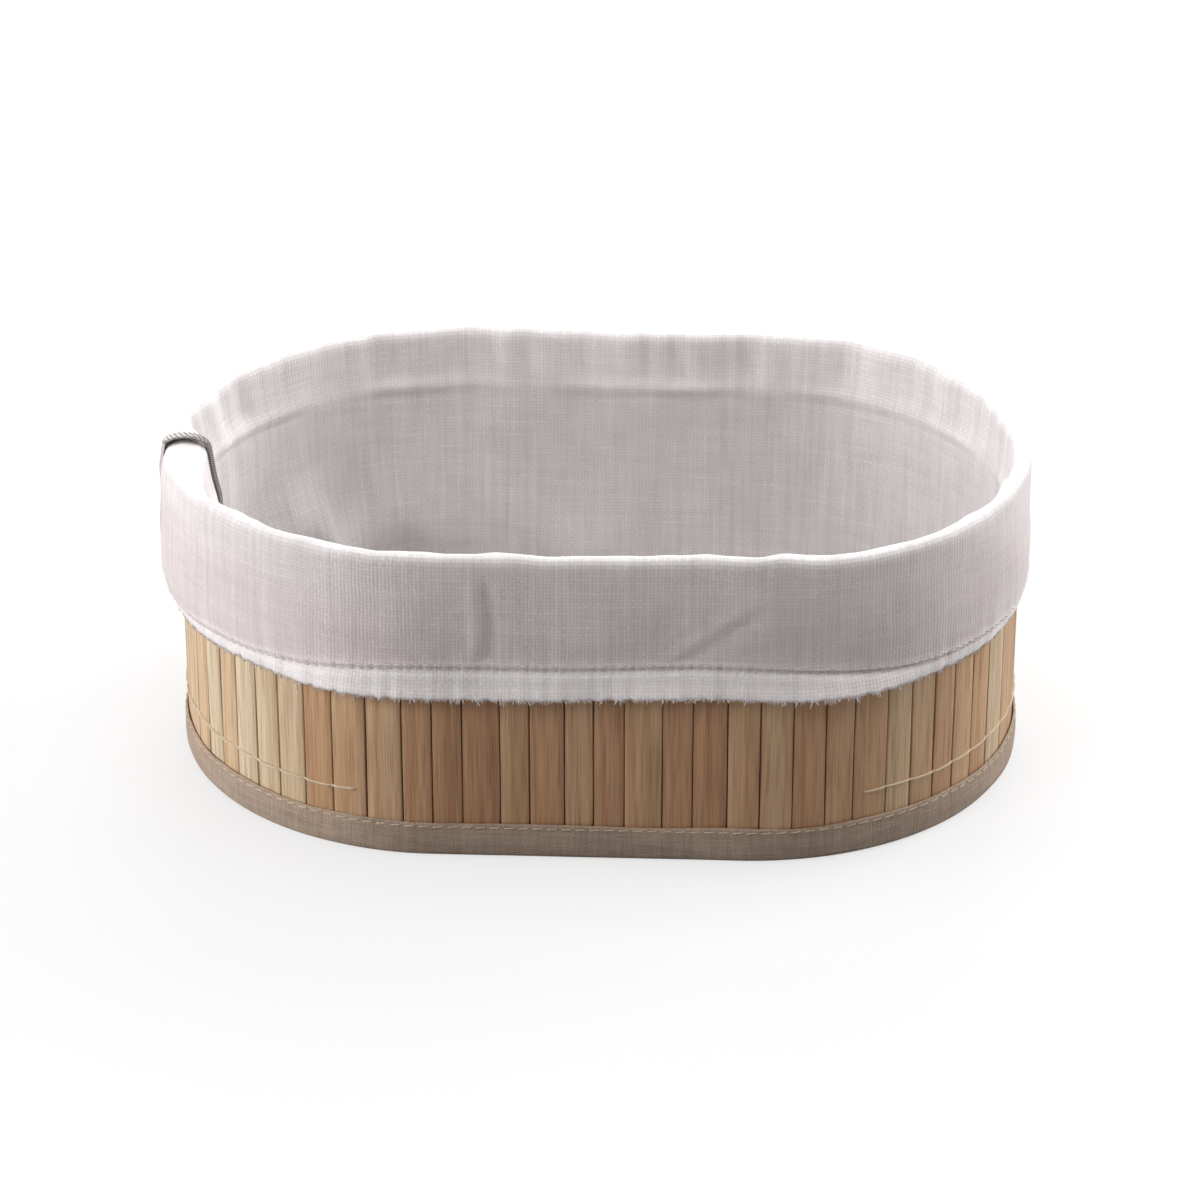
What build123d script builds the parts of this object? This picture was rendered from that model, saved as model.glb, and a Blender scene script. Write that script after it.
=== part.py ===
from build123d import *
import math
import os
import random

# An oval bread basket: a wall of upright bamboo slats bound with tape, a stiff base, and a loose
# cloth liner whose top is turned down over the wall as a cuff. All sizes are in millimetres. +X is
# the long way of the oval, +Z is up, and the origin is the middle of the base where it meets the table.

# The wall. Every ring of the basket runs parallel to the outer face of the slats, so its place is
# given as a distance outwards from that face, and is negative inside it.
wall_length = 280.0
wall_width = 180.0
end_radius = wall_width / 2
end_centre = wall_length / 2 - end_radius

# Bamboo slats
slat_count = 72
slats_per_group = 3
slat_thickness = 2.0
slat_edge = 0.35
slat_gap = 0.35
slat_unevenness = 0.15
slat_foot = 1.0
slat_top = 84.0

# Cloth that the slats are glued to, behind them
backing_out = -2.1
backing_thickness = 0.8
backing_end_gap = 1.0

# Tape folded over the lower and upper edge of the wall
tape_out = 1.2
tape_in = -3.8
tape_groove_out = 0.3
tape_groove_in = -3.0
tape_web = 1.0
tape_height = 12.0

# Threads: rows that tie the slats, and rows that sew the tapes
tie_out = 0.3
tie_diameter = 0.7
tie_heights = {"lower_tie_thread": 21.0, "upper_tie_thread": 66.0}
tie_left_end = -74.0
tie_right_end = 88.0
stitch_proud = 0.4
stitch_height = 0.6
stitch_inset = 1.5

# Base: a stiff board with a cloth cover under it
cover_out = -3.9
cover_thickness = 0.6
board_out = -4.1
board_thickness = 2.5

# Liner: a floor panel and one band, which goes up inside the wall, over a fold and down outside it
cloth = 1.0
liner_foot = 3.4
liner_wall_out = -4.3
liner_corner = 15.0
cuff_in = 2.0
cuff_out = 3.2
rim_height = 108.0
cuff_foot = 60.0
floor_seam_gap = 0.1
floor_seam_width = 2.0
floor_seam_height = 0.6
cloth_gap = 0.05

# Liner trim
fringe_in = 2.2
fringe_out = 3.0
fringe_drop = 2.4
hem_rows = (70.5, 72.0)
hem_proud = 0.3
hem_row_height = 0.5
side_seam_width = 10.0
side_seam_gap = 0.2
side_seam_foot = 22.0
side_seam_top = 98.0
label_radius = 13.5
label_thickness = 0.8
label_centre = (-3.0, -3.0)


def oval(out, mode=Mode.ADD):
    """The oval that runs a distance out from the slats' outer face, in the open sketch."""
    SlotOverall(wall_length + 2 * out, wall_width + 2 * out, mode=mode)


def ring(bottom, height, outer, inner, mode=Mode.ADD):
    """An oval ring in the open part, from one distance out to another."""
    with BuildSketch(Plane.XY.offset(bottom)) as outline:
        oval(outer)
        oval(inner, mode=Mode.SUBTRACT)
    extrude(outline.sketch, amount=height, mode=mode)


def plate(bottom, thickness, out):
    """A flat oval panel in the open part."""
    with BuildSketch(Plane.XY.offset(bottom)) as outline:
        oval(out)
    extrude(outline.sketch, amount=thickness)


def finish(piece, name):
    """Names a finished piece and writes it as one file."""
    piece.part.label = name
    export_step(piece.part, f"parts/{name}.step")


def slat_places():
    """Each slat's distance round the wall and its width, with the strips as uneven as split bamboo."""
    middle = end_radius - slat_thickness / 2
    around = 4 * end_centre + 2 * math.pi * middle
    rough = random.Random(8)
    shares = [1 + rough.uniform(-slat_unevenness, slat_unevenness) for _ in range(slat_count)]
    scale = around / sum(shares)
    places = []
    start = 0.0
    for share in shares:
        pitch = share * scale
        places.append((start + pitch / 2, pitch - slat_gap))
        start += pitch
    return places


def wall_plane(distance):
    """The plane that a slat stands on, its x along the wall, from the left end of the front side."""
    middle = end_radius - slat_thickness / 2
    straight = 2 * end_centre
    bend = math.pi * middle
    turn = 0.0
    if distance > straight + bend:
        distance -= straight + bend
        turn = math.pi
    if distance <= straight:
        x = -end_centre + distance
        y = -middle
        heading = 0.0
    else:
        heading = (distance - straight) / middle
        x = end_centre + middle * math.sin(heading)
        y = -middle * math.cos(heading)
    if turn:
        x = -x
        y = -y
    along = (math.cos(heading + turn), math.sin(heading + turn), 0)
    return Plane(origin=(x, y, slat_foot), x_dir=along, z_dir=(0, 0, 1))


os.makedirs("parts", exist_ok=True)

# The slats, in groups that follow each other round the wall
places = slat_places()
for group in range(slat_count // slats_per_group):
    first = group * slats_per_group
    with BuildPart() as slats:
        for distance, width in places[first : first + slats_per_group]:
            with BuildSketch(wall_plane(distance)):
                Rectangle(width, slat_thickness)
                chamfer(vertices(), length=slat_edge)
            extrude(amount=slat_top - slat_foot)
    finish(slats, f"slats_{group + 1:02d}")

# The cloth behind the slats
with BuildPart() as wall_backing:
    ring(
        slat_foot + backing_end_gap,
        slat_top - slat_foot - 2 * backing_end_gap,
        backing_out,
        backing_out - backing_thickness,
    )
finish(wall_backing, "wall_backing")

# The tape folded under the wall: a web on the table with a leg up each face of the wall
with BuildPart() as bottom_binding:
    ring(0, tape_height, tape_out, tape_in)
    ring(tape_web, tape_height - tape_web, tape_groove_out, tape_groove_in, mode=Mode.SUBTRACT)
finish(bottom_binding, "bottom_binding")

# The tape folded over the top of the wall
tape_foot = slat_top + tape_web - tape_height
with BuildPart() as top_binding:
    ring(tape_foot, tape_height, tape_out, tape_in)
    ring(tape_foot, tape_height - tape_web, tape_groove_out, tape_groove_in, mode=Mode.SUBTRACT)
finish(top_binding, "top_binding")

# The rows of thread that sew the tapes, just inside the edge of each tape's outer leg
with BuildPart() as bottom_stitching:
    ring(tape_height - stitch_inset, stitch_height, tape_out + stitch_proud, tape_out)
finish(bottom_stitching, "bottom_stitching")

with BuildPart() as top_stitching:
    ring(tape_foot + stitch_inset, stitch_height, tape_out + stitch_proud, tape_out)
finish(top_stitching, "top_stitching")

# The threads that tie the slats side by side, which show outside round the two ends
for name, height in tie_heights.items():
    with BuildPart() as tie_thread:
        with BuildSketch(Plane.XY.offset(height)):
            oval(tie_out + tie_diameter)
            oval(tie_out, mode=Mode.SUBTRACT)
            with Locations(((tie_left_end + tie_right_end) / 2, 0)):
                Rectangle(tie_right_end - tie_left_end, 2 * wall_width, mode=Mode.SUBTRACT)
        extrude(amount=tie_diameter)
    finish(tie_thread, name)

# The base
with BuildPart() as base_cover:
    plate(0, cover_thickness, cover_out)
finish(base_cover, "base_cover")

with BuildPart() as base_board:
    plate(cover_thickness, board_thickness, board_out)
finish(base_board, "base_board")

# The liner's band. A quarter of it is turned and extruded from one section, and mirrored twice. In
# the section's plane x runs out of the wall and y runs up.
section_plane = Plane(origin=(end_centre, -end_radius, 0), x_dir=(0, -1, 0), z_dir=(-1, 0, 0))
liner_wall_in = liner_wall_out - cloth
corner_x = liner_wall_out - liner_corner
corner_y = liner_foot + liner_corner
fold_outer = (cuff_out - liner_wall_in) / 2
fold_inner = (cuff_in - liner_wall_out) / 2
fold_y = rim_height - fold_outer
fold_outer_x = cuff_out - fold_outer
fold_inner_x = cuff_in - fold_inner
with BuildPart() as liner_band:
    with BuildSketch(section_plane) as band_section:
        with BuildLine():
            CenterArc((corner_x, corner_y), liner_corner, -90, 90)
            Line((liner_wall_out, corner_y), (liner_wall_out, fold_y))
            CenterArc((fold_inner_x, fold_y), fold_inner, 0, 180)
            Polyline((cuff_in, fold_y), (cuff_in, cuff_foot), (cuff_out, cuff_foot), (cuff_out, fold_y))
            CenterArc((fold_outer_x, fold_y), fold_outer, 0, 180)
            Line((liner_wall_in, fold_y), (liner_wall_in, corner_y))
            CenterArc((corner_x, corner_y), liner_corner - cloth, -90, 90)
            Line((corner_x, liner_foot + cloth), (corner_x, liner_foot))
        make_face()
    revolve(axis=Axis((end_centre, 0, 0), (0, 0, 1)), revolution_arc=90)
    extrude(band_section.sketch, amount=end_centre)
    mirror(about=Plane.XZ)
    mirror(about=Plane.YZ)
finish(liner_band, "liner_band")

# The liner's floor panel and the ridge of the seam that joins it to the band
with BuildPart() as liner_floor:
    plate(liner_foot, cloth, corner_x - floor_seam_gap)
finish(liner_floor, "liner_floor")

with BuildPart() as floor_seam:
    ring(
        liner_foot + cloth + cloth_gap,
        floor_seam_height,
        corner_x,
        corner_x - floor_seam_width,
    )
finish(floor_seam, "floor_seam")

# The yarn ends along the cuff's raw lower edge
with BuildPart() as hem_fringe:
    ring(cuff_foot - fringe_drop, fringe_drop, fringe_out, fringe_in)
finish(hem_fringe, "hem_fringe")

# The two rows of stitches above that edge
with BuildPart() as hem_stitching:
    for height in hem_rows:
        ring(height, hem_row_height, cuff_out + hem_proud, cuff_out)
finish(hem_stitching, "hem_stitching")

# The lap where the band's two ends are sewn together, inside the left end
lap_outer_x = -(wall_length / 2 + liner_wall_in - side_seam_gap)
with BuildPart() as side_seam:
    with BuildSketch(Plane.XY.offset(side_seam_foot)):
        with Locations((lap_outer_x + cloth / 2, 0)):
            Rectangle(cloth, side_seam_width)
    extrude(amount=side_seam_top - side_seam_foot)
finish(side_seam, "side_seam")

# The round cloth label on the floor panel
with BuildPart() as round_label:
    with BuildSketch(Plane.XY.offset(liner_foot + cloth + cloth_gap)):
        with Locations(label_centre):
            Circle(label_radius)
    extrude(amount=label_thickness)
finish(round_label, "round_label")
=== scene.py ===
import math
import random

import bmesh
import bpy
import numpy as np
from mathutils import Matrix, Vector


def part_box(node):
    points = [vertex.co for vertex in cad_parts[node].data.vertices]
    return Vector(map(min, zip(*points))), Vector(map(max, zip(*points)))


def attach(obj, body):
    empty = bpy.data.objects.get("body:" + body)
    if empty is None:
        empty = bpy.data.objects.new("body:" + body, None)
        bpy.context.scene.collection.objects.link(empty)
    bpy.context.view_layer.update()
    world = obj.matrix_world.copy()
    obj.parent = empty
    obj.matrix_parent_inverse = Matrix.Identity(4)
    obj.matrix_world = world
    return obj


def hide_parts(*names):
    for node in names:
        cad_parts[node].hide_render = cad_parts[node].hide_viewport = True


# An oval bread basket of bamboo slats with a loose linen liner. Everything is in metres, in the
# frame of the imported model: +X is the oval's long way, +Z is up, and -Y is the front.

MM = 0.001

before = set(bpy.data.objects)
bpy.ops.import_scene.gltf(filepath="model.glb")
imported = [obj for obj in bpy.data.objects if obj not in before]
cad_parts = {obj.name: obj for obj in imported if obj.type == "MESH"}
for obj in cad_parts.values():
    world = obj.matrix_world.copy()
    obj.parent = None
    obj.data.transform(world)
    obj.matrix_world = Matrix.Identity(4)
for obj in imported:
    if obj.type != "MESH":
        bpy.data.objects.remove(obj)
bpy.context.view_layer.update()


# ---- the oval
# Every ring of the basket is an oval with the same two end centres, so a ring is told by its
# half-width, its radius round the ends. Distance round the oval is measured on the slats' outer
# face, from the tip of the left end, along the front first.

def half_width(node):
    """A ring's outer half-width."""
    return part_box(node)[1].y


BACKING_GAP = 2.1 * MM
slat_face = half_width("wall_backing") + BACKING_GAP
end_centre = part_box("wall_backing")[1].x - half_width("wall_backing")
quarter = math.pi / 2 * slat_face
straight = 2 * end_centre
around = 4 * quarter + 2 * straight
KNOTS = np.cumsum([0, quarter, straight, 2 * quarter, straight, quarter])
FACING = np.radians([-180, -90, -90, 90, 90, 180])
CENTRES = np.array([-1, -1, 1, 1, -1, -1]) * end_centre


def outward(distance):
    """The direction out of the wall at a distance round the oval."""
    angle = np.interp(np.mod(distance, around), KNOTS, FACING)
    return np.stack([np.cos(angle), np.sin(angle), np.zeros_like(angle)], axis=-1)


def place(distance, radius, height):
    """Points at a distance round the oval, on the ring of a half-width, at a height."""
    distance, radius, height = np.broadcast_arrays(distance, radius, height)
    centre = np.interp(np.mod(distance, around), KNOTS, CENTRES)
    points = outward(distance) * radius[..., None]
    points[..., 0] += centre
    points[..., 2] = height
    return points


def front_at(x):
    """The distance round the oval of a point x on the straight front."""
    return quarter + end_centre + x


def ripples(a, b, wave_a, wave_b, count, seed):
    """A smooth random field between about -1 and 1, which closes on itself round the oval."""
    draw = random.Random(seed)
    total = 0.0
    for _ in range(count):
        turns = max(1, round(around / wave_a * draw.uniform(0.6, 1.5)))
        along = 2 * math.pi * turns / around
        across = 2 * math.pi / wave_b * draw.uniform(-1.2, 1.2)
        total = total + np.sin(along * a + across * b + draw.uniform(0, 2 * math.pi))
    return total / math.sqrt(count)


def ripple_line(a, wave, count, seed):
    """Ripples that change round the oval only."""
    return ripples(a, 0, wave, 1.0, count, seed)


def bell(values, centre, width):
    """A smooth hump of height 1."""
    return np.exp(-(((values - centre) / width) ** 2))


def step(values, low, high):
    """A smooth rise from 0 at low to 1 at high."""
    share = np.clip((values - low) / (high - low), 0, 1)
    return share * share * (3 - 2 * share)


# ---- meshes

def put(name, data):
    """A new object with its data, in the scene."""
    piece = bpy.data.objects.new(name, data)
    bpy.context.scene.collection.objects.link(piece)
    return piece


def add_mesh(name, points, faces, uvs, material, attributes=None):
    """A smooth mesh object with one UV for each face corner and named values for its points."""
    mesh = bpy.data.meshes.new(name)
    faces = faces if isinstance(faces, list) else faces.tolist()
    mesh.from_pydata(np.asarray(points).reshape(-1, 3).tolist(), [], faces)
    layer = mesh.uv_layers.new(name="UVMap")
    layer.data.foreach_set("uv", np.asarray(uvs, float).ravel())
    for label, values in (attributes or {}).items():
        data = mesh.attributes.new(label, "FLOAT", "POINT")
        data.data.foreach_set("value", np.asarray(values, float).ravel())
    mesh.polygons.foreach_set("use_smooth", [True] * len(mesh.polygons))
    mesh.materials.append(material)
    mesh.update()
    return put(name, mesh)


def grid_faces(columns, rows, close_columns, close_rows):
    """Quads of a grid of points, and the column and row of each corner, not wrapped."""
    last_column = columns if close_columns else columns - 1
    last_row = rows if close_rows else rows - 1
    i, j = np.meshgrid(np.arange(last_column), np.arange(last_row), indexing="ij")
    i = np.stack([i, i + 1, i + 1, i], axis=-1).reshape(-1, 4)
    j = np.stack([j, j, j + 1, j + 1], axis=-1).reshape(-1, 4)
    return (i % columns) * rows + (j % rows), i, j


def normals_of(points, close_columns):
    """Unit normals of a grid of points."""
    if close_columns:
        ahead = np.roll(points, -1, axis=0) - np.roll(points, 1, axis=0)
    else:
        ahead = np.gradient(points, axis=0)
    up = np.gradient(points, axis=1)
    normal = np.cross(ahead, up)
    return normal / np.linalg.norm(normal, axis=-1, keepdims=True)


THIN_EDGE = 0.55


def sheet(name, middle, thickness, length, material, close=True, attributes=None):
    """A closed sheet of cloth about a grid of middle points, with its edges thinned a little.
    Its UV is metres along the sheet, u in columns and v in rows."""
    columns, rows = middle.shape[:2]
    half = np.full(rows, thickness / 2)
    half[[0, -1]] *= THIN_EDGE
    normal = normals_of(middle, close) * half[None, :, None]
    points = np.concatenate([middle + normal, (middle - normal)[:, ::-1]], axis=1)
    faces, i, j = grid_faces(columns, 2 * rows, close, True)
    gaps = np.linalg.norm(np.diff(middle, axis=1), axis=-1).mean(axis=0)
    up = np.concatenate([[0], np.cumsum(gaps)])
    v = np.concatenate([up, up[::-1], up[:1]])[j]
    u = i * (length / (columns if close else columns - 1))
    uvs = np.stack([u, v], axis=-1)
    if not close:
        j = np.arange(rows - 1)
        first = np.stack([j + 1, j, 2 * rows - 1 - j, 2 * rows - 2 - j], axis=-1)
        last = first[:, ::-1] + (columns - 1) * 2 * rows
        ends = np.zeros((2 * (rows - 1), 4, 2))
        ends[..., 1] = up[np.tile(j, 2)][:, None]
        faces = np.concatenate([faces, first, last])
        uvs = np.concatenate([uvs, ends])
    return add_mesh(name, points, faces, uvs, material, attributes)


UV_SHIFT = 0.37  # how far each thread's twist starts from the last one's


def threads(name, paths, normals, radius, material, sides=6):
    """Round threads in one mesh: paths is threads by points, and radius may vary like it."""
    count, steps = paths.shape[:2]
    radius = np.broadcast_to(radius, (count, steps))
    ahead = np.gradient(paths, axis=1)
    ahead /= np.linalg.norm(ahead, axis=-1, keepdims=True)
    side = np.cross(ahead, np.broadcast_to(normals, paths.shape))
    side /= np.linalg.norm(side, axis=-1, keepdims=True)
    out = np.cross(side, ahead)
    turn = np.arange(sides) * 2 * math.pi / sides
    ring = (
        side[:, :, None] * np.cos(turn)[None, None, :, None]
        + out[:, :, None] * np.sin(turn)[None, None, :, None]
    )
    points = paths[:, :, None] + ring * radius[:, :, None, None]
    faces, i, j = grid_faces(steps, sides, False, True)
    starts = np.arange(count)[:, None, None] * steps * sides
    runs = np.linalg.norm(np.diff(paths, axis=1), axis=-1)
    length = np.concatenate([np.zeros((count, 1)), np.cumsum(runs, axis=1)], axis=1)
    u = length[:, i] + np.arange(count)[:, None, None] * UV_SHIFT
    v = np.broadcast_to(j / sides, u.shape)
    faces = (faces[None] + starts).reshape(-1, 4)
    uvs = np.stack([u, v], axis=-1).reshape(-1, 4, 2)
    caps = []
    for base in (np.arange(count) * steps * sides)[:, None]:
        tail = base + (steps - 1) * sides
        for k in range(1, sides - 2, 2):
            caps.append(base + np.array([0, k, k + 1, k + 2]))
            caps.append(tail + np.array([k + 2, k + 1, k, 0]))
    caps = np.array(caps)
    uvs = np.concatenate([uvs, np.zeros((len(caps), 4, 2))])
    return add_mesh(name, points, np.concatenate([faces, caps]), uvs, material)


def stand_for(piece, body, slot, *nodes):
    """The piece rides on a body and stands for those CAD nodes, which it hides. slot is not used."""
    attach(piece, body)
    if nodes:
        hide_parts(*nodes)
    return piece


# ---- materials

class Paint:
    """A node material built up by short calls."""

    def __init__(self, name):
        self.material = bpy.data.materials.new(name)
        self.material.use_nodes = True
        self.tree = self.material.node_tree
        self.shader = self.tree.nodes["Principled BSDF"]

    def feed(self, socket, value):
        if isinstance(value, bpy.types.NodeSocket):
            self.tree.links.new(value, socket)
        else:
            socket.default_value = value

    def node(self, kind, *values, **settings):
        made = self.tree.nodes.new(kind)
        for key, value in settings.items():
            setattr(made, key, value)
        for socket, value in zip(made.inputs, values):
            self.feed(socket, value)
        return made

    def fill(self, node, **values):
        """Feeds a node's inputs by their names."""
        for label, value in values.items():
            self.feed(node.inputs[label.replace("_", " ")], value)

    def set(self, **values):
        self.fill(self.shader, **values)

    def calc(self, operation, *values):
        return self.node("ShaderNodeMath", *values, operation=operation).outputs[0]

    def mul(self, first, second):
        return self.calc("MULTIPLY", first, second)

    def split(self, vector):
        return self.node("ShaderNodeSeparateXYZ", vector).outputs[:2]

    def join(self, x, y, z=0.0):
        return self.node("ShaderNodeCombineXYZ", x, y, z).outputs[0]

    def uv(self):
        return self.node("ShaderNodeUVMap", uv_map="UVMap").outputs[0]

    def value_of(self, attribute):
        return self.node("ShaderNodeAttribute", attribute_name=attribute).outputs["Fac"]

    def noise(self, vector, scale=1.0, detail=2.0, roughness=0.5):
        made = self.node("ShaderNodeTexNoise")
        self.fill(made, Vector=vector, Scale=scale, Detail=detail, Roughness=roughness)
        return made.outputs["Fac"]

    def streaks(self, u, v, along, across, detail):
        """Noise drawn out into lines: how fine it is along u and along v."""
        where = self.join(self.mul(u, along), self.mul(v, across))
        return self.noise(where, detail=detail)

    def ramp(self, value, *stops):
        """A colour band from (position, colour) stops."""
        made = self.node("ShaderNodeValToRGB", value)
        band = made.color_ramp
        while len(band.elements) < len(stops):
            band.elements.new(1.0)
        for element, (at, colour) in zip(band.elements, stops):
            element.position = at
            element.color = (*colour, 1.0)
        return made.outputs[0]

    def blend(self, share, first, second, kind="MIX"):
        """Two colours mixed. A Mix node's colours are its sockets 6 and 7, and its third output."""
        made = self.node("ShaderNodeMix", data_type="RGBA", blend_type=kind)
        for socket, value in zip((0, 6, 7), (share, first, second)):
            value = value if not isinstance(value, tuple) else (*value, 1.0)
            self.feed(made.inputs[socket], value)
        return made.outputs[2]

    def pick(self, share, first, second):
        """Two numbers mixed. A Mix node's numbers are its sockets 2 and 3."""
        made = self.node("ShaderNodeMix", share)
        self.feed(made.inputs[2], first)
        self.feed(made.inputs[3], second)
        return made.outputs[0]

    def times(self, first, second):
        """Two colours multiplied."""
        return self.blend(1.0, first, second, "MULTIPLY")

    def span(self, value, low, high, to_low=0.0, to_high=1.0):
        made = self.node("ShaderNodeMapRange", value, low, high, to_low, to_high)
        return made.outputs[0]

    def bump(self, height, strength, distance):
        made = self.node("ShaderNodeBump")
        self.fill(made, Height=height, Strength=strength, Distance=distance)
        return made.outputs[0]

    def finish(self, colour, roughness, normal):
        self.set(Base_Color=colour, Roughness=roughness, Normal=normal)
        return self.material


def weave(paint, pitch, wander):
    """A plain weave over the UV: its height from 0 to 1, and how thick and pale each thread is."""
    u, v = paint.split(paint.uv())
    drift = paint.noise(paint.uv(), scale=70.0, detail=2.0)
    drift = paint.span(drift, 0.0, 1.0, -wander, wander)
    u = paint.calc("ADD", paint.calc("DIVIDE", u, pitch), drift)
    v = paint.calc("SUBTRACT", paint.calc("DIVIDE", v, pitch), drift)
    sides, shades = [], []
    for across, along, sign in ((u, v, 1.0), (v, u, -1.0)):
        turn = paint.calc("COSINE", paint.mul(paint.calc("FLOOR", across), math.pi))
        crimp = paint.calc("SINE", paint.mul(along, math.pi))
        crimp = paint.mul(crimp, turn)
        crimp = paint.calc("MULTIPLY_ADD", crimp, 0.4 * sign, 0.6)
        thread = paint.calc("SINE", paint.mul(across, math.pi))
        thread = paint.calc("ABSOLUTE", thread)
        sides.append(paint.mul(crimp, paint.calc("POWER", thread, 0.6)))
        row, slowly = paint.calc("FLOOR", across), paint.mul(along, 0.07)
        where = paint.join(row, slowly, 9.0 * sign)
        shades.append(paint.noise(where, scale=0.83, detail=1.0))
    height = paint.calc("MAXIMUM", *sides)
    upper = paint.calc("GREATER_THAN", sides[0], sides[1])
    own = paint.pick(upper, shades[1], shades[0])
    return height, paint.span(own, 0.28, 0.72)


WHITE = (1.0, 1.0, 1.0)
WALL_THROUGH = (1.0, 0.942, 0.928)  # the tint of a brown wall behind thin cloth
PAINTED_LIGHT_GAIN = 1.26  # how much paler the cloth is painted, as painted light where its hem catches light and where backlight comes through it
PATCHES = 0.08


def woven(
    name,
    pitch,
    dark,
    light,
    wander=0.35,
    strength=0.6,
    sheen=0.3,
    see=0.0,
    pit_shade=0.72,
    streaks=0.0,
    painted_light_from=None,
    over=None,
):
    """Cloth: threads that cross, each with its own shade, and a slow change of shade. hollow is
    how dark the painted shade in the pits between threads is, see how much light goes into the
    cloth, and painted_light_from and over name values of the mesh: how much paler the cloth is
    painted as painted light, and how much of the wall shows through."""
    paint = Paint(name)
    height, own = weave(paint, pitch, wander)
    yarn = paint.blend(own, dark, light)
    # painted shade: the pits between threads are darkened in colour
    gap = paint.span(height, 0.12, 0.6)
    shaded_pit = (pit_shade, pit_shade * 0.97, pit_shade * 0.95)
    yarn = paint.blend(gap, paint.times(yarn, shaded_pit), yarn)
    slow = paint.noise(paint.uv(), scale=30.0, detail=4.0, roughness=0.65)
    slow = paint.span(slow, 0.3, 0.7, 1.0 - PATCHES, 1.0 + PATCHES)
    if streaks:
        lines = paint.streaks(*paint.split(paint.uv()), 420.0, 16.0, 3.0)
        lines = paint.span(lines, 0.3, 0.7, 1.0 - streaks, 1.0 + streaks)
        slow = paint.mul(slow, lines)
    # painted light: a value of the mesh makes the cloth paler where it is painted as lit
    if painted_light_from:
        pale = paint.span(paint.value_of(painted_light_from), 0.0, 1.0, 1.0, PAINTED_LIGHT_GAIN)
        slow = paint.mul(slow, pale)
    colour = paint.times(yarn, paint.join(slow, slow, slow))
    if over:
        colour = paint.times(colour, paint.blend(paint.value_of(over), WHITE, WALL_THROUGH))
    fuzz = paint.noise(paint.uv(), scale=5200.0, detail=2.0)
    relief = paint.calc("ADD", height, paint.mul(own, 0.4))
    relief = paint.calc("MULTIPLY_ADD", fuzz, 0.35, relief)
    normal = paint.bump(relief, strength, 0.35 * pitch)
    paint.set(Sheen_Weight=sheen, Sheen_Roughness=0.5, Specular_IOR_Level=0.25)
    if see:
        paint.set(Subsurface_Weight=see, Subsurface_Radius=(1.0, 0.9, 0.85))
        paint.set(Subsurface_Scale=3.0 * MM)
    return paint.finish(colour, paint.span(own, 0.0, 1.0, 0.95, 0.82), normal)


def thread_material(name, dark, light, twist):
    """Yarn with its plies twisted round each other."""
    paint = Paint(name)
    u, v = paint.split(paint.uv())
    turns = paint.mul(v, 4 * math.pi)
    lay = paint.calc("SINE", paint.calc("MULTIPLY_ADD", u, 2 * math.pi / twist, turns))
    lay = paint.span(lay, -1.0, 1.0)
    fibre = paint.streaks(u, v, 900.0, 9.0, 3.0)
    share = paint.calc("MULTIPLY_ADD", fibre, 0.5, paint.mul(lay, 0.5))
    colour = paint.blend(share, dark, light)
    normal = paint.bump(paint.calc("MULTIPLY_ADD", fibre, 0.4, lay), 0.7, 0.15 * MM)
    paint.set(Sheen_Weight=0.3)
    return paint.finish(colour, paint.span(fibre, 0.3, 0.7, 0.9, 0.7), normal)


def bamboo_material():
    """Split bamboo: fibres up the slat, painted shade along its sides where the gaps between slats
    are, and a shade for each slat, painted paler round the ends as painted light.
    """
    paint = Paint("bamboo")
    u, v = paint.split(paint.uv())
    own = paint.value_of("own")
    edge = paint.value_of("edge")
    shift = paint.mul(own, 7.0)
    u = paint.calc("ADD", u, shift)
    fine = paint.streaks(u, v, 2600.0, 45.0, 4.0)
    broad = paint.streaks(u, v, 420.0, 14.0, 2.0)
    shade = paint.ramp(
        own,
        (0.0, (0.47, 0.262, 0.143)),
        (0.3, (0.585, 0.355, 0.202)),
        (0.55, (0.645, 0.436, 0.262)),
        (0.8, (0.695, 0.53, 0.340)),
        (1.0, (0.71, 0.60, 0.43)),
    )
    grain = paint.ramp(
        fine, (0.36, (0.76, 0.70, 0.64)), (0.5, (0.97, 0.96, 0.95)), (0.66, (1.06, 1.06, 1.05))
    )
    streak = paint.ramp(
        broad, (0.34, (0.84, 0.78, 0.73)), (0.55, WHITE), (0.75, (1.08, 1.07, 1.02))
    )
    colour = paint.times(paint.times(shade, grain), streak)
    # painted shade: the slats' sides, toward the gaps between them, are darkened
    rim = paint.span(edge, 0.84, 1.0)
    colour = paint.blend(paint.mul(rim, 0.35), colour, (0.15, 0.085, 0.045))
    relief = paint.calc("MULTIPLY_ADD", fine, 1.0, paint.mul(broad, 0.5))
    normal = paint.bump(relief, 0.45, 0.12 * MM)
    paint.set(Specular_IOR_Level=0.45)
    return paint.finish(colour, paint.span(fine, 0.3, 0.7, 0.62, 0.42), normal)


def board_material():
    """Pressed fibreboard, brown with pale and dark fibres."""
    paint = Paint("fibreboard")
    where = paint.node("ShaderNodeTexCoord").outputs["Object"]
    flecks = paint.noise(where, scale=900.0, detail=5.0, roughness=0.7)
    cloud = paint.noise(where, scale=40.0, detail=3.0)
    colour = paint.ramp(
        flecks, (0.3, (0.16, 0.10, 0.06)), (0.5, (0.33, 0.23, 0.15)), (0.72, (0.48, 0.37, 0.26))
    )
    colour = paint.blend(paint.span(cloud, 0.3, 0.7, 0.0, 0.35), colour, (0.26, 0.18, 0.12))
    normal = paint.bump(flecks, 0.4, 0.2 * MM)
    return paint.finish(colour, paint.span(flecks, 0.3, 0.7, 0.85, 0.7), normal)


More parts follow.
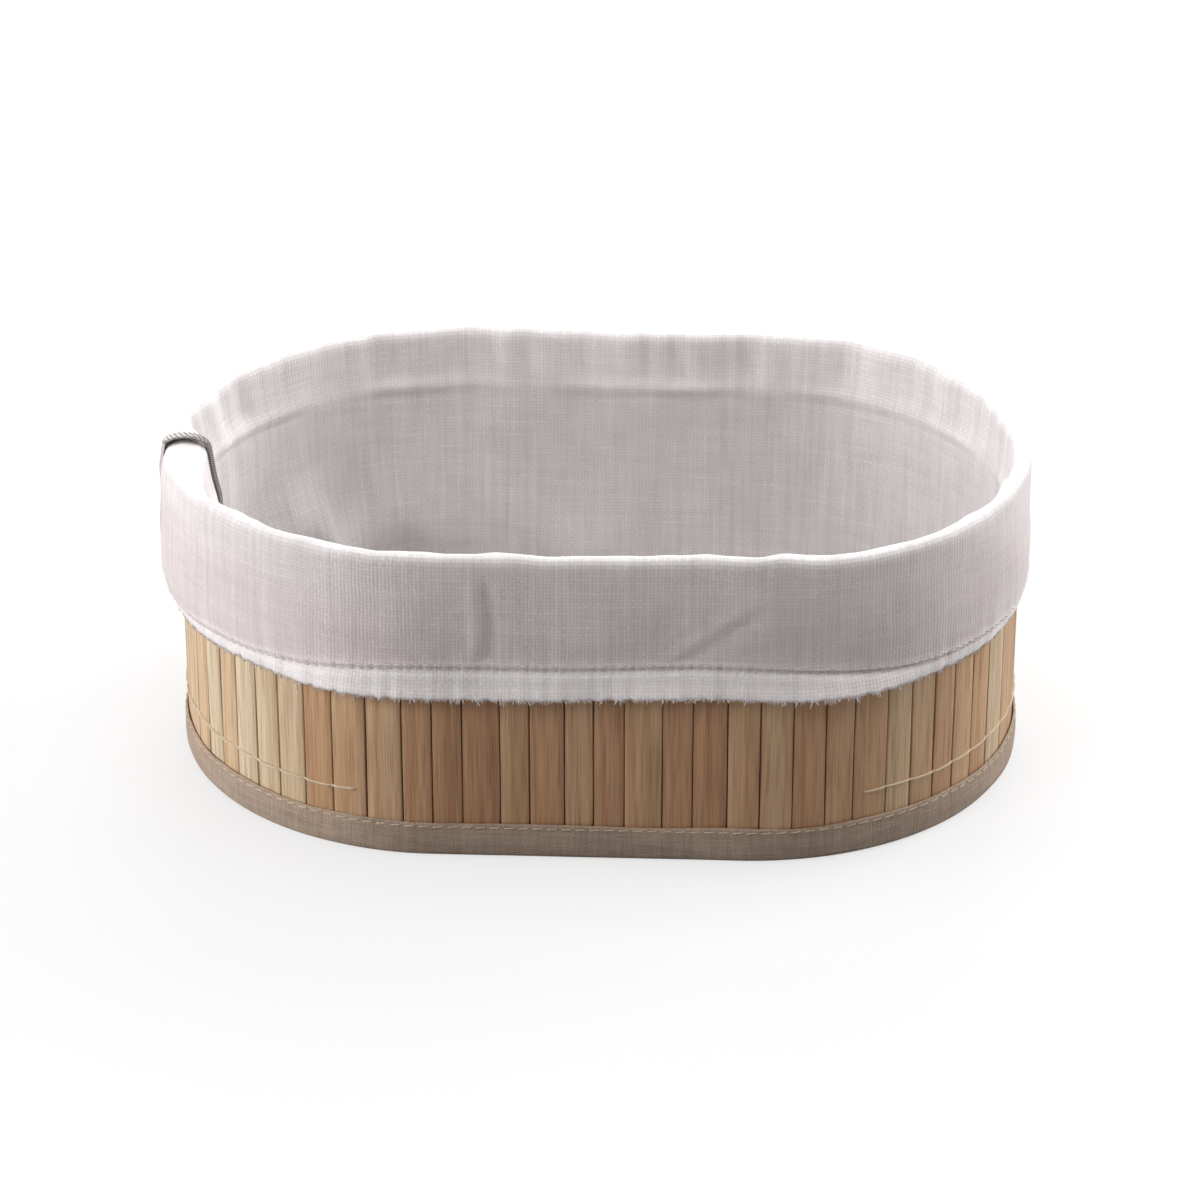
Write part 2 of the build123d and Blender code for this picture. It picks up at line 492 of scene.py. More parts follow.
bamboo = bamboo_material()
linen = woven(
    "linen",
    1.2 * MM,
    (0.680, 0.651, 0.650),
    (0.775, 0.748, 0.747),
    strength=0.36,
    see=0.4,
    pit_shade=0.78,
    streaks=0.07,
    painted_light_from="pale",
    over="backed",
)
# painted shade: the liner's floor is the same linen as its band, painted darker for the shade at the
# bottom of the basket
shaded_floor_linen = woven(
    "shaded_floor_linen", 1.2 * MM, (0.42, 0.383, 0.368), (0.57, 0.527, 0.508), strength=0.7, pit_shade=0.66
)
tape = woven(
    "tape", 0.7 * MM, (0.355, 0.272, 0.203), (0.535, 0.425, 0.335), 0.15, strength=0.5, sheen=0.1
)
coarse_cotton = woven(
    "coarse_cotton", 1.1 * MM, (0.36, 0.30, 0.22), (0.56, 0.49, 0.39), sheen=0.15
)
label_cotton = woven(
    "label_cotton", 0.45 * MM, (0.84, 0.79, 0.74), (0.92, 0.88, 0.83), 0.05, strength=0.3
)
pale_thread = thread_material("pale_thread", (0.54, 0.43, 0.27), (0.80, 0.69, 0.50), 0.9 * MM)
linen_yarn = thread_material("linen_yarn", (0.62, 0.58, 0.57), (0.84, 0.80, 0.79), 0.8 * MM)
# the side seam's yarn is made dark as painted shade for the gap at the lap
shade_dark_seam_yarn = thread_material("shade_dark_seam_yarn", (0.22, 0.21, 0.185), (0.35, 0.34, 0.305), 0.8 * MM)
board = board_material()


# ---- bamboo slats

def slat_boxes(node):
    """Each slat of a CAD group: its distance round the oval, width, thickness, foot and top."""
    shape = bmesh.new()
    shape.from_mesh(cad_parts[node].data)
    bmesh.ops.remove_doubles(shape, verts=shape.verts[:], dist=0.02 * MM)
    left = set(shape.verts)
    found = []
    while left:
        part = {left.pop()}
        edge = set(part)
        while edge:
            edge = {e.other_vert(v) for v in edge for e in v.link_edges} - part
            part |= edge
        left -= part
        points = np.array([v.co for v in part])
        middle = (points.min(axis=0) + points.max(axis=0)) / 2
        centre = np.array([np.clip(middle[0], -end_centre, end_centre), 0])
        out = (middle[:2] - centre) / np.linalg.norm(middle[:2] - centre)
        along = points[:, :2] @ np.array([-out[1], out[0]])
        depth = points[:, :2] @ out
        angle = math.atan2(out[1], out[0])
        if abs(middle[0]) <= end_centre:
            distance = front_at(middle[0]) if middle[1] < 0 else around - front_at(middle[0])
        else:
            distance = np.interp(angle, [-math.pi, -math.pi / 2], [0, quarter])
            if angle > -math.pi / 2:
                distance = np.interp(angle, [-math.pi / 2, math.pi / 2], [KNOTS[2], KNOTS[3]])
            if angle > math.pi / 2:
                distance = np.interp(angle, [math.pi / 2, math.pi], [KNOTS[4], around])
        found.append((distance, np.ptp(along), np.ptp(depth), points[:, 2].min(), points[:, 2].max()))
    shape.free()
    return sorted(found)


SLAT_NODES = sorted(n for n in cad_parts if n.startswith("slats_"))
SLAT_RINGS = 26
SLAT_CROWN = 0.14 * MM
SLAT_CORNER = 0.32 * MM
SLAT_BOW = 0.10 * MM
shades = random.Random(21)


def slat_section(width, thickness):
    """A slat's outline seen from above, x along the wall and y outwards, crowned outside."""
    outline = []
    for x_side, y_side in ((-1, 1), (1, 1), (1, -1), (-1, -1)):
        corner = (x_side * (width / 2 - SLAT_CORNER), y_side * (thickness / 2 - SLAT_CORNER))
        start = {(-1, 1): 180, (1, 1): 90, (1, -1): 0, (-1, -1): -90}[(x_side, y_side)]
        for turn in (0, 30, 60, 90):
            angle = math.radians(start - turn)
            rounded = SLAT_CORNER * math.cos(angle), SLAT_CORNER * math.sin(angle)
            outline.append((corner[0] + rounded[0], corner[1] + rounded[1]))
        if x_side < 0 < y_side:
            outline += [(share * width, thickness / 2) for share in (-0.25, 0.0, 0.25)]
    outline = np.array(outline)
    crown = SLAT_CROWN * (2 * outline[:, 0] / width) ** 2
    outline[:, 1] -= np.where(outline[:, 1] > 0, crown, 0)
    return outline


def make_slats(node):
    """The visible slats of one group, each a little uneven, with its own shade."""
    points, faces, uvs, own, edges = [], [], [], [], []
    for distance, width, thickness, foot, top in slat_boxes(node):
        outline = slat_section(width + shades.uniform(0.02, 0.28) * MM, thickness)
        rows = len(outline)
        heights = np.linspace(foot, top, SLAT_RINGS)
        shift = shades.uniform(0, 50)
        waver = 1 - 0.008 * (1 + np.sin(heights * 90 + shift))
        bow = SLAT_BOW * np.sin(heights * 60 + 2 * shift)
        out = outward(np.array(distance))
        along = np.array([-out[1], out[0], 0])
        root = place(np.array(distance), slat_face - thickness / 2, 0.0)
        across = outline[None, :, 0] * waver[:, None]
        depth = outline[None, :, 1] + bow[:, None] - SLAT_BOW
        body = root + across[..., None] * along + depth[..., None] * out
        body[..., 2] = heights[:, None]
        quads, i, j = grid_faces(SLAT_RINGS, rows, False, True)
        lengths = np.linalg.norm(np.diff(outline, axis=0, append=outline[:1]), axis=1)
        u = np.concatenate([[0], np.cumsum(lengths)])[j]
        first = len(own)
        points.append(body.reshape(-1, 3))
        faces += (quads + first).tolist()
        uvs.append(np.stack([u, heights[i]], axis=-1).reshape(-1, 2))
        for base, order in ((first, -1), (first + (SLAT_RINGS - 1) * rows, 1)):
            faces.append((base + np.arange(rows))[::order].tolist())
            uvs.append(np.stack([outline[:, 0], outline[:, 1]], axis=-1)[::order])
        # painted light: the slats are painted palest round the ends, and most of all at the left,
        # where the side lamps fall, on top of each slat's own random shade
        painted_end_light = 0.25 + (0.60 if out[0] < 0 else 0.38) * step(abs(out[0]), 0.05, 0.75)
        shade = min(1.0, max(0.0, shades.gauss(painted_end_light, 0.15)))
        own += [shade] * body.shape[0] * rows
        # painted shade toward the gaps between slats, a little weaker on some slats
        gap_shade = shades.uniform(0.90, 1.0) * np.abs(2 * outline[:, 0] / width)
        edges.append(np.broadcast_to(gap_shade, body.shape[:2]).ravel())
    values = {"own": own, "edge": np.concatenate(edges)}
    uvs = np.concatenate(uvs)
    piece = add_mesh(f"bamboo_{node}", np.concatenate(points), faces, uvs, bamboo, values)
    return stand_for(piece, "basket", "bamboo", node)


for node in SLAT_NODES:
    make_slats(node)
slat_edges = sorted(
    distance + side * width / 2
    for node in SLAT_NODES
    for distance, width, *_ in slat_boxes(node)
    for side in (-1, 1)
)
slat_gaps = np.array(slat_edges).reshape(-1, 2)[:, 1]


# ---- wall cloth, tapes and base
COLUMNS = 512
round_wall = np.arange(COLUMNS)[:, None] * around / COLUMNS

backing_low, backing_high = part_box("wall_backing")
heights = np.linspace(backing_low.z, backing_high.z, 30)[None, :]
uneven = 0.12 * MM * ripples(round_wall, heights, 22 * MM, 30 * MM, 8, 5)
backing = place(round_wall, half_width("wall_backing") - 0.4 * MM + uneven, heights)
wall_backing = sheet("glued_backing_cloth", backing, 0.7 * MM, around, coarse_cotton)
stand_for(wall_backing, "basket", "backing_cloth", "wall_backing")

STITCH_LENGTH = 3.4 * MM
STITCH_PITCH = 4.6 * MM
STITCH_COUNT = round(around / STITCH_PITCH)
TAPE_LEG_IN = 0.40 * MM
TAPE_THICKNESS = 0.8 * MM
TAPE_DEPTH = 4.2 * MM  # between its two folded legs


def fold_profile(inner, outer, web, edge, corner, rows_up, rows_round):
    """A tape folded in a U: radius and height from its inner edge, round the web, to its outer."""
    lift = math.copysign(corner, edge - web)
    radius = [np.full(rows_up, inner)]
    height = [np.linspace(edge, web + lift, rows_up)]
    for centre, first in ((inner + corner, math.pi), (outer - corner, 1.5 * math.pi)):
        turn = first + np.linspace(0, math.pi / 2, rows_round + 2)[1:-1]
        radius.append(centre + corner * np.cos(turn))
        height.append(web + lift + lift * np.sin(turn))
        if first == math.pi:
            radius.append(np.linspace(inner + corner, outer - corner, 3))
            height.append(np.full(3, web))
    radius.append(np.full(rows_up, outer))
    height.append(np.linspace(web + lift, edge, rows_up))
    return np.concatenate(radius), np.concatenate(height)


def stitch_row(name, surface, stitches, length, radius, material, lean=0.0):
    """A row of stitches on a surface, which gives points at distances round it. Each stitch comes
    up through the cloth, lies along it and goes down again."""
    steps = 9
    share = np.linspace(-0.5, 0.5, steps)[None, :]
    starts = np.arange(stitches)[:, None] * around / stitches
    distance = starts + share * length
    lift = radius * (0.9 - 2.6 * np.abs(2 * share) ** 5) + 0 * starts
    paths, normal = surface(distance, lean * share)
    paths = paths + normal * lift[..., None]
    return threads(name, paths, normal, radius, material)


def make_binding(node, stitch_node, seed):
    """A tape folded over an edge of the wall, plump between its folds, with its row of stitches."""
    low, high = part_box(node)
    up = node.startswith("bottom")
    web, edge = (low.z, high.z) if up else (high.z, low.z)
    away = 1 if up else -1
    outer = half_width(node) - TAPE_LEG_IN
    inner = outer - TAPE_DEPTH
    stitch_low, stitch_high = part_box(stitch_node)
    stitch_z = (stitch_low.z + stitch_high.z) / 2
    fold = web + away * TAPE_LEG_IN
    profile_r, profile_z = fold_profile(inner, outer, fold, edge, 1.3 * MM, 14, 3)

    def leg(distance, height):
        """How far the outer leg swells at a distance round and a height."""
        along = np.abs(height - web) / abs(edge - web)
        plump = 0.30 * MM * np.sin(math.pi * np.clip(along / 0.85, 0, 1)) - 0.18 * MM
        pull = 0.22 * MM * bell(height, stitch_z, 0.8 * MM)
        between = 0.5 + 0.5 * np.cos(2 * math.pi * STITCH_COUNT * distance / around)
        frill = ripples(distance, height, 14 * MM, 40 * MM, 6, seed)
        frill = 0.10 * MM * step(along, 0.8, 1.0) * frill
        uneven = 0.06 * MM * ripples(distance, height, 40 * MM, 20 * MM, 6, seed + 1)
        return plump - pull * between + frill + uneven

    heights = profile_z[None, :] + 0 * round_wall
    on_leg = step(profile_r, inner + 1.5 * MM, outer)[None, :]
    radius = profile_r[None, :] + on_leg * leg(round_wall, heights)
    wavy = 0.25 * MM * ripple_line(round_wall, 60 * MM, 5, seed + 2)
    loose = step(np.abs(profile_z - web), 6 * MM, abs(edge - web))[None, :]
    heights = heights + wavy * away * loose
    middle = place(round_wall, radius, heights)
    piece = sheet(f"{node}_tape", middle, TAPE_THICKNESS, around, tape)
    stand_for(piece, "basket", "binding_tape", node)

    def surface(distance, across):
        height = stitch_z + across
        radius = outer + leg(distance, height) + TAPE_THICKNESS / 2
        return place(distance, radius, height), outward(distance)

    name, lean = f"{stitch_node}_thread", 0.3 * MM
    row = stitch_row(name, surface, STITCH_COUNT, STITCH_LENGTH, 0.24 * MM, pale_thread, lean)
    stand_for(row, "basket", "pale_thread", stitch_node)


make_binding("bottom_binding", "bottom_stitching", 31)
make_binding("top_binding", "top_stitching", 37)


def make_tie(node):
    """A thread over the slats round each end, pulled into the gaps between them."""
    low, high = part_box(node)
    height = (low.z + high.z) / 2
    nodes = np.array([v.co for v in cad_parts[node].data.vertices])
    left_x = nodes[nodes[:, 0] < 0][:, 0].max()
    right_x = nodes[nodes[:, 0] > 0][:, 0].min()
    left_s = slat_face * (math.pi / 2 - math.asin((-left_x - end_centre) / slat_face))
    right_s = slat_face * math.asin((right_x - end_centre) / slat_face)
    steps = 420
    paths, normals = [], []
    both_ends = (around - left_s, around + left_s), (KNOTS[2] + right_s, KNOTS[3] - right_s)
    for start, end in both_ends:
        distance = np.linspace(start, end, steps)
        nearest = np.abs(np.mod(distance, around)[:, None] - slat_gaps[None, :]).min(axis=1)
        tuck = 0.45 * MM * bell(nearest, 0, 1.1 * MM)
        at_ends = bell(distance, start, 1.2 * MM) + bell(distance, end, 1.2 * MM)
        tuck = tuck + 1.4 * MM * at_ends
        lie = 0.30 * MM * ripples(distance, height, 35 * MM, 1.0, 5, 3)
        paths.append(place(distance, slat_face + 0.20 * MM - tuck, height + lie))
        normals.append(outward(distance))
    paths, normals = np.array(paths), np.array(normals)
    piece = threads(f"{node}_yarn", paths, normals, 0.42 * MM, pale_thread, sides=8)
    stand_for(piece, "basket", "pale_thread", node)


make_tie("lower_tie_thread")
make_tie("upper_tie_thread")


def oval_panel(name, radius, low, thickness, sag, material, rings=26, columns=320):
    """A flat oval of cloth with soft edges. sag gives its height change at x and y."""
    distance = np.arange(columns)[:, None] * around / columns
    share = np.concatenate([np.linspace(0, 1, rings)[1:] ** 0.9, [1.0]])[None, :]
    spread = radius * share
    flat = place(distance, spread, 0.0)
    flat[..., 0] = flat[..., 0] - np.interp(np.mod(distance, around), KNOTS, CENTRES) * (1 - share)
    rows = share.shape[1]
    bulge = np.ones(rows)
    bulge[-1] = 0.0
    flat[:, -2] = flat[:, -2] + (flat[:, -3] - flat[:, -2]) * 0.02
    height = low + thickness / 2 + sag(flat[..., 0], flat[..., 1])
    upper, lower = flat.copy(), flat.copy()
    upper[..., 2] = height + thickness / 2 * bulge
    lower[..., 2] = height - thickness / 2 * bulge
    level = sag(0.0, 0.0) + low
    centre = np.array([[0, 0, level + thickness], [0, 0, level]])
    points = np.concatenate([upper.reshape(-1, 3), lower.reshape(-1, 3), centre])
    quads, _, _ = grid_faces(columns, rows, True, False)
    count = columns * rows
    faces = [quads, quads[:, ::-1] + count]
    i = np.arange(columns)
    middle = np.stack([np.full(columns, 2 * count), i * rows, ((i + 1) % columns) * rows], axis=-1)
    flipped = middle[:, ::-1] + count
    flipped[:, 2] = 2 * count + 1
    rim = np.stack([i * rows, ((i + 1) % columns) * rows], axis=-1) + rows - 1
    side = np.concatenate([rim, rim[:, ::-1] + count], axis=-1)
    quads = np.concatenate([*faces, side[:, ::-1]])
    triangles = np.concatenate([middle[:, ::-1], flipped[:, ::-1]])
    corners = np.concatenate([quads.ravel(), triangles.ravel()])
    faces = quads.tolist() + triangles.tolist()
    return add_mesh(name, points, faces, points[corners, :2] + 0.5, material)


cover_low, cover_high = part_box("base_cover")
base_cover = oval_panel(
    "base_cover_cloth",
    half_width("base_cover"),
    cover_low.z,
    cover_high.z - cover_low.z,
    lambda x, y: 0.0 * x,
    coarse_cotton,
)
stand_for(base_cover, "basket", "backing_cloth", "base_cover")
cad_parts["base_board"].data.materials.clear()
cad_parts["base_board"].data.materials.append(board)


# ---- the liner's band
# One strip of linen: t runs across it, from the seam with the floor, up the inside of the wall,
# over the fold and down outside to the cuff's raw edge.
CLOTH = 0.9 * MM
band_low, band_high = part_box("liner_band")
wall_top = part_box("top_binding")[1].z
cuff_radius = half_width("liner_band") - 0.6 * MM
lining_radius = half_width("wall_backing") - 2.7 * MM
floor_radius = half_width("liner_floor") + 0.3 * MM
corner = lining_radius - floor_radius
band_foot = band_low.z + 0.5 * MM
rim_z = band_high.z - 0.5 * MM
raw_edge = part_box("hem_fringe")[1].z
fold_radius = 2.3 * MM
fold_middle = (cuff_radius + lining_radius) / 2 + 0.6 * MM


def band_profile():
    """The band's half-width and height across the strip, with rows closer where it creases."""
    turn = np.linspace(-math.pi / 2, 0, 14)
    radius = [floor_radius + corner * np.cos(turn)]
    height = [band_foot + corner + corner * np.sin(turn)]
    radius.append([lining_radius, lining_radius, fold_middle - fold_radius - 0.5 * MM])
    height.append([wall_top - 14 * MM, wall_top + 1 * MM, wall_top + 9 * MM])
    turn = np.linspace(math.pi, 0, 15)
    radius.append(fold_middle + fold_radius * np.cos(turn))
    height.append(rim_z - fold_radius + fold_radius * np.sin(turn))
    radius.append([cuff_radius - 0.8 * MM, cuff_radius, cuff_radius])
    height.append([wall_top + 4 * MM, wall_top - 4 * MM, raw_edge])
    radius, height = np.concatenate(radius), np.concatenate(height)
    length = np.concatenate([[0], np.cumsum(np.hypot(np.diff(radius), np.diff(height)))])
    fine = np.linspace(0, length[-1], 1200)
    fold_at = length[np.argmax(height)]
    wall_top_at = np.interp(wall_top + 1 * MM, height[height.argsort()], length[height.argsort()])
    wall_top_at = min(wall_top_at, 2 * fold_at - wall_top_at)
    crowd = 1 + 1.3 * bell(fine, wall_top_at, 6 * MM) + 1.2 * bell(fine, fold_at, 5 * MM)
    crowd = crowd + 1.3 * step(fine, length[-1] - 16 * MM, length[-1] - 11 * MM)
    share = np.cumsum(crowd)
    rows = np.interp(np.linspace(share[0], share[-1], BAND_ROWS), share, fine)
    rows[[0, -1]] = 0, length[-1]
    return rows, np.interp(rows, length, radius), np.interp(rows, length, height)


BAND_COLUMNS = 490
BAND_ROWS = 100
LAP_UNDER = 12 * MM
LAP_OVER = 9 * MM
strip, strip_radius, strip_height = band_profile()
strip_width = strip[-1]
strip_length = around + LAP_UNDER + LAP_OVER
top_t = strip[np.argmax(strip_height)]


def soften(values, passes):
    """Rounds the corners of a profile."""
    for _ in range(passes):
        values[1:-1] = (values[:-2] + 2 * values[1:-1] + values[2:]) / 4
    return values


strip_radius = soften(strip_radius, 2)
strip_height = soften(strip_height, 2)


ROW_GAP = 1.7 * MM
HEM_DEPTH = 9.5  # millimetres from the raw edge to its stitches on the straight sides
HEM_CLOSER = 5.3  # and how much less that is round the ends


def round_to(distance):
    """Distance round the oval from the tip of the left end, negative along the back."""
    return (distance + around / 2) % around - around / 2


def ends(distance):
    """1 at the tips of the oval and 0 on its straight sides."""
    return step(np.abs(outward(distance)[..., 0]), 0.15, 0.95)


def hem_line(distance):
    """How far across the strip the hem's stitches run."""
    close = step(np.abs(outward(distance)[..., 0]), 0.02, 0.72)
    return strip_width - (HEM_DEPTH - HEM_CLOSER * close) * MM


def make_band_grid():
    """The band's middle surface: the profile round the oval, with its folds, slack and lap."""
    s = np.linspace(-LAP_UNDER, around + LAP_OVER, BAND_COLUMNS)[:, None]
    t = strip[None, :]
    radius = strip_radius[None, :] + 0 * s
    height = strip_height[None, :] + 0 * s
    level = height.copy()
    inside = 1 - step(t, top_t - 4 * MM, top_t + 4 * MM)
    outside = step(t, top_t + 2 * MM, top_t + 12 * MM)
    left = bell(round_to(s), 0, 62 * MM)
    tip = ends(s)

    # soft upright waves where nothing backs the cloth, and almost none below
    free = step(level, wall_top - 1 * MM, wall_top + 9 * MM)
    waves = ripples(s, t, 44 * MM, 160 * MM, 9, 41)
    puckers = ripples(s, t, 15 * MM, 70 * MM, 9, 42)
    radius -= inside * free * (0.65 * MM * waves + 0.32 * MM * puckers + 0.3 * MM)
    radius -= inside * (1 - free) * (0.35 * MM * np.abs(waves) + 0.10 * MM * puckers)

    # the top of the basket's wall shows through as a line with a lip of slack over it
    patchy = np.clip(0.75 + 0.8 * ripple_line(s, 55 * MM, 6, 50), 0.1, 1.6)
    lip = bell(level, wall_top + 3.2 * MM, 2.0 * MM)
    lip = lip - 0.7 * bell(level, wall_top - 0.2 * MM, 1.5 * MM)
    radius -= inside * 0.95 * MM * patchy * lip

    # the slack of the bag near its floor, with folds in front and one along the left end
    low = 1 - step(level, 16 * MM, 58 * MM)
    rise = step(t, 2 * MM, 14 * MM)
    slack = ripples(s, t, 95 * MM, 120 * MM, 7, 43)
    slump = np.maximum(1.8 * MM + 1.6 * MM * slack, 0.3 * MM)
    radius -= inside * low * rise * slump
    for centre, wide, deep, at in FOLDS:
        drop = at + 6 * MM * ripple_line(s, 60 * MM, 4, 51)
        above = level > drop
        ridge = np.where(above, bell(level, drop, 17 * MM), bell(level, drop, 6.5 * MM))
        radius -= inside * rise * deep * bell(round_to(s - centre), 0, wide) * ridge

    # the cuff: wider than the wall at its ends, where its hem turns in, and flared in front
    swell = outside * (1 - step(level, rim_z - 2 * MM, rim_z))
    body = step(level, raw_edge + 2 * MM, raw_edge + 12 * MM)
    radius += swell * body * tip * (0.3 * MM + 2.2 * MM * left)
    radius += bell(t, top_t, 16 * MM) * (1 - outside * 0.6) * left * 1.6 * MM
    radius += swell * (0.30 * MM * ripples(s, t, 60 * MM, 80 * MM, 8, 44))
    hem_t = hem_line(s)
    hem = np.clip((t - hem_t) / (strip_width - hem_t), 0, 1)
    radius -= swell * (1 - body) * tip * (0.4 * MM + 1.2 * MM * hem)
    front = 1 - tip
    flare = front * (3.0 * MM + 0.5 * MM * ripple_line(s, 48 * MM, 6, 45))
    radius += hem * (flare + 1.6 * MM * bell(s, front_at(82 * MM), 24 * MM))
    pucker = ripples(s, t, 7 * MM, 60 * MM, 10, 46)
    radius += 0.16 * MM * step(t, strip_width - 22 * MM, strip_width) * pucker
    radius -= 0.60 * MM * bell(t, hem_t, 0.9 * MM)
    radius += 0.35 * MM * bell(t, hem_t - 2 * MM, 1.2 * MM)
    radius += 0.30 * MM * bell(t, hem_t + 2.4 * MM, 1.6 * MM)
    radius += 0.18 * MM * bell(t, strip_width, 2 * MM) * ripple_line(s, 3.5 * MM, 10, 52)

    # two creases in the front of the cuff, one upright and one slanting
    line = front_at(-31.5 * MM) + 0.8 * MM * np.sin(level * 170)
    crease = bell(s, line, 2.0 * MM) - 0.7 * bell(s, line - 3.6 * MM, 2.2 * MM)
    crease = crease * step(level, 71 * MM, 77 * MM) * (1 - step(level, 94 * MM, 102 * MM))
    radius -= 1.0 * MM * crease * outside
    slope = (level - 76 * MM) * 1.35 + front_at(30 * MM)
    crease = bell(s, slope, 2.6 * MM) - 0.8 * bell(s, slope + 5 * MM, 3.4 * MM)
    crease = crease * step(level, 71 * MM, 76 * MM) * (1 - step(level, 86 * MM, 95 * MM))
    radius += 0.55 * MM * crease * outside

    # the rim rises and falls a little, and the hem hangs lower at the left end
    near_rim = bell(t, top_t, 22 * MM)
    rim = 0.45 * MM * ripple_line(s, 110 * MM, 6, 47)
    rim += 0.12 * MM * ripple_line(s, 24 * MM, 6, 48)
    rim += 0.9 * MM * bell(s, front_at(62 * MM), 8 * MM)
    rim += 0.9 * MM * step(-outward(s)[..., 1], 0.2, 1.0)
    height += near_rim * rim
    hang = step(t, top_t + 8 * MM, strip_width)
    lift = front * step(s, front_at(-30 * MM), front_at(60 * MM)) * (s < KNOTS[3])
    height += hang * (0.5 * MM * ripple_line(s, 120 * MM, 5, 49) + 1.6 * MM * lift)
    height -= hang * 7.0 * MM * bell(round_to(s - 18 * MM), 0, 40 * MM)
    height += 0.35 * MM * bell(t, strip_width, 1.2 * MM) * ripple_line(s, 5 * MM, 12, 53)

    # the lap at the left end: the far end of the strip lies over the near one outside, and inside
    # it turns in like a fin, with a raised tip at the rim
    past = step(s, around - 14 * MM, around)
    fin = np.clip((s - around + 2 * MM) / (LAP_OVER + 2 * MM), 0, 1) ** 1.3
    upper = step(level, 40 * MM, 78 * MM)
    radius -= inside * (1.2 * MM * past + (1.5 + 6.5 * upper) * MM * fin)
    radius += past * (1 - inside) * 0.95 * MM
    height += past * near_rim * 0.6 * MM
    height += 0.9 * MM * near_rim * bell(s, around - 1 * MM, 16 * MM)
    height += 3.2 * MM * bell(t, top_t - 1 * MM, 8 * MM) * bell(s, around - 2 * MM, 8 * MM)
    near = 1 - step(s, LAP_OVER - 3 * MM, LAP_OVER + 22 * MM)
    height -= near * near_rim * 0.9 * MM
    beside = bell(s, LAP_OVER + 9 * MM, 10 * MM) * step(s, LAP_OVER, LAP_OVER + 5 * MM)
    radius += (1 - inside) * 0.95 * MM * beside
    own = s < around / 2
    reach = np.clip((s + 2 * MM) / (LAP_OVER + 2 * MM), 0, 1) ** 1.3
    reach = reach * (1 - step(s, 14 * MM, 46 * MM))
    radius -= own * inside * (1.5 + 6.5 * upper) * MM * reach * upper
    radius += near * inside * 0.25 * MM
    return place(s, radius, height)


# Folds of the slack inside: where round the oval, how wide, how deep and how high.
FOLDS = (
    (front_at(-48 * MM), 15 * MM, 9.0 * MM, 24 * MM),
    (front_at(51 * MM), 30 * MM, 10.5 * MM, 26 * MM),
    (around - 72 * MM, 46 * MM, 7.0 * MM, 34 * MM),
    (KNOTS[4] - 30 * MM, 22 * MM, 2.0 * MM, 30 * MM),
    (KNOTS[4] + 60 * MM, 8 * MM, 4.5 * MM, 39 * MM),
)

band = make_band_grid()
band_normals = -normals_of(band, False)


def on_band(distance, across):
    """The middle of the band's cloth and its shown side's normal, at a place on it."""
    column = (distance + LAP_UNDER) / strip_length * (BAND_COLUMNS - 1)
    row = np.interp(across, strip, np.arange(BAND_ROWS))
    column, row = np.broadcast_arrays(column, row)
    i = np.clip(np.floor(column).astype(int), 0, BAND_COLUMNS - 2)
    j = np.clip(np.floor(row).astype(int), 0, BAND_ROWS - 2)
    a = (column - i)[..., None]
    b = (row - j)[..., None]

    def between(grid):
        near = grid[i, j] * (1 - a) + grid[i + 1, j] * a
        far = grid[i, j + 1] * (1 - a) + grid[i + 1, j + 1] * a
        return near * (1 - b) + far * b

    return between(band), between(band_normals)


def band_shades():
    """Two values of the cloth's points: how much paler it is painted, as painted light on the flared
    hem, the band just above its stitches and the backlit cloth above the wall, and how far the brown
    wall is behind it, which is so on the cuff."""
    s = np.linspace(-LAP_UNDER, around + LAP_OVER, BAND_COLUMNS)[:, None]
    past_hem = strip[None, :] - hem_line(s)
    # painted light: the hem and a band just above its stitches are painted paler for the light on the
    # flared hem, and the cloth above the wall for backlight through it
    hem = step(past_hem, -0.6 * MM, 0.6 * MM)
    free = step(strip_height[None, :] + 0 * s, wall_top - 2 * MM, wall_top + 13 * MM)
    turned = bell(past_hem, -1.9 * MM, 0.9 * MM)
    pale = np.maximum(np.maximum(hem, turned), 0.45 * free)
    backed = (1 - hem) * (1 - 0.4 * free) * step(strip, top_t, top_t + 8 * MM)[None, :]
    both_sides = [np.concatenate([side, side[:, ::-1]], axis=1) for side in (pale, backed)]
    return dict(zip(("pale", "backed"), both_sides))


shades_of_band = band_shades()
liner_band = sheet("linen_band", band, CLOTH, strip_length, linen, False, shades_of_band)
stand_for(liner_band, "liner", "liner_linen", "liner_band")


HEM_STITCHES = 250
HEM_STITCH = 2.3 * MM
hem_objects = []
for number in (0, 1):

    def surface(distance, lean, number=number):
        middle, normal = on_band(distance, hem_line(distance) - number * ROW_GAP + lean)
        return middle + normal * CLOTH / 2, normal

    name, lean = f"hem_row_{number + 1}", 0.2 * MM
    row = stitch_row(name, surface, HEM_STITCHES, HEM_STITCH, 0.21 * MM, linen_yarn, lean)
    hem_objects.append(row)
stand_for(hem_objects[0], "liner", "liner_yarn", "hem_stitching")
stand_for(hem_objects[1], "liner", "liner_yarn")


FRINGE_ENDS = 1300


